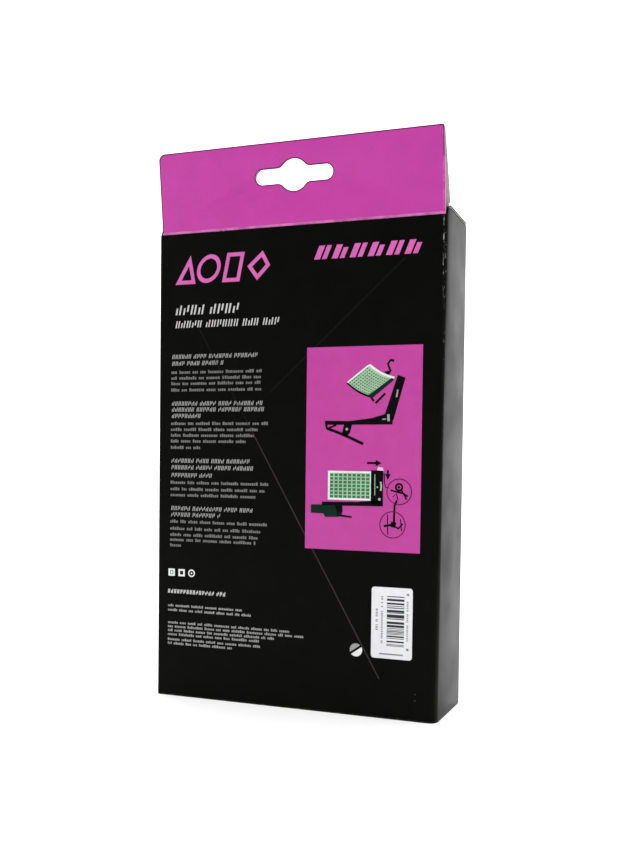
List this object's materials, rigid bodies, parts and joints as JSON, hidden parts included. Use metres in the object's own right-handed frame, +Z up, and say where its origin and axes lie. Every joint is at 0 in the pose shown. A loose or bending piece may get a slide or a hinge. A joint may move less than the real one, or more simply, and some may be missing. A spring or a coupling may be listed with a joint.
{
  "type": "boxed table tennis net clamp set",
  "caption": "Upright hanging retail carton with a slotted header and a tuck-in lid, packed with folding spring-clamp net posts and a folded table tennis net.",
  "frame": {"origin": "centre of the whole outline on the surface that the carton stands on", "axes": "+Z up towards the hanging header, +X to the right when the printed back is faced, -Y out of the printed back"},
  "size_m": [0.162, 0.0516, 0.2975],
  "materials": {
    "board_print_black": "coated carton board, printed black, satin varnish, fine crazing at the folds",
    "board_print_magenta": "coated carton board, printed magenta, satin varnish",
    "board_bare_inside": "unprinted inner face of the board, matt, light fibre flecks",
    "label_paper": "white self-adhesive paper label, matt",
    "clamp_plastic": "black glass-filled moulding, fine grain",
    "pad_rubber": "black rubber, ribbed",
    "plated_steel": "zinc-plated steel",
    "net_nylon": "knotted green nylon mesh, folded",
    "tape_fabric": "white woven tape"
  },
  "bodies": {
    "carton": {"back_panel": "board_print_black", "front_panel": "board_print_black", "left_side_panel": "board_print_black", "right_side_panel": "board_print_black", "bottom_outer_flap": "board_print_black", "header_outer_ply": "board_print_magenta", "header_inner_ply": "board_print_magenta", "glue_seam_flap": "board_bare_inside", "bottom_inner_flap": "board_bare_inside", "bottom_dust_flap_left": "board_bare_inside", "bottom_dust_flap_right": "board_bare_inside", "barcode_label": "label_paper", "left_clamp_arm": "clamp_plastic", "right_clamp_arm": "clamp_plastic", "left_arm_pad": "pad_rubber", "right_arm_pad": "pad_rubber", "left_jaw_pin": "plated_steel", "left_post_pin": "plated_steel", "left_jaw_spring": "plated_steel", "right_jaw_pin": "plated_steel", "right_post_pin": "plated_steel", "right_jaw_spring": "plated_steel", "folded_net": "net_nylon", "net_top_tape": "tape_fabric", "net_sleeve_left": "tape_fabric", "net_sleeve_right": "tape_fabric"},
    "lid": {"lid_panel": "board_print_black"},
    "tuck_tongue": {"lid_tuck_tongue": "board_print_black"},
    "dust_flap_left": {"top_dust_flap_left": "board_bare_inside"},
    "dust_flap_right": {"top_dust_flap_right": "board_bare_inside"},
    "left_lever": {"left_jaw_lever": "clamp_plastic", "left_lever_pad": "pad_rubber"},
    "left_post": {"left_net_post": "clamp_plastic", "left_cord_knob": "clamp_plastic", "left_knob_screw": "plated_steel", "left_cord_cleat": "clamp_plastic"},
    "right_lever": {"right_jaw_lever": "clamp_plastic", "right_lever_pad": "pad_rubber"},
    "right_post": {"right_net_post": "clamp_plastic", "right_cord_knob": "clamp_plastic", "right_knob_screw": "plated_steel", "right_cord_cleat": "clamp_plastic"}
  },
  "joints": [
    {"name": "lid_fold", "type": "hinge", "parent": "carton", "child": "lid", "pos_m": [0, -0.01317, 0.26065], "axis": [1, 0, 0], "range_deg": [0, 92]},
    {"name": "tongue_fold", "type": "hinge", "parent": "lid", "child": "tuck_tongue", "pos_m": [0, 0.02448, 0.26065], "axis": [1, 0, 0], "range_deg": [0, 28]},
    {"name": "dust_flap_left_fold", "type": "hinge", "parent": "carton", "child": "dust_flap_left", "pos_m": [-0.08065, 0.00258, 0.25965], "axis": [0, -1, 0], "range_deg": [0, 75]},
    {"name": "dust_flap_right_fold", "type": "hinge", "parent": "carton", "child": "dust_flap_right", "pos_m": [0.08065, 0.00258, 0.25965], "axis": [0, 1, 0], "range_deg": [0, 75]},
    {"name": "left_jaw_pivot", "type": "hinge", "parent": "carton", "child": "left_lever", "pos_m": [-0.0418, 0.00258, 0.163], "axis": [0, 1, 0], "range_deg": [0, 30], "stiffness_Nm_per_rad": 0.6, "springref_deg": -11.46, "deforming": ["left_jaw_spring"]},
    {"name": "right_jaw_pivot", "type": "hinge", "parent": "carton", "child": "right_lever", "pos_m": [0.0418, 0.00258, 0.163], "axis": [0, -1, 0], "range_deg": [0, 30], "stiffness_Nm_per_rad": 0.6, "springref_deg": -11.46, "deforming": ["right_jaw_spring"]},
    {"name": "left_post_fold", "type": "hinge", "parent": "carton", "child": "left_post", "pos_m": [-0.0648, 0.00258, 0.014], "axis": [0, -1, 0], "range_deg": [0, 3]},
    {"name": "right_post_fold", "type": "hinge", "parent": "carton", "child": "right_post", "pos_m": [0.0648, 0.00258, 0.014], "axis": [0, 1, 0], "range_deg": [0, 3]}
  ],
  "couplings": [
    {"joint": "tongue_fold", "follows": "lid_fold", "ratio": 0.3},
    {"joint": "dust_flap_left_fold", "follows": "lid_fold", "ratio": 0.8},
    {"joint": "dust_flap_right_fold", "follows": "lid_fold", "ratio": 0.8}
  ]
}
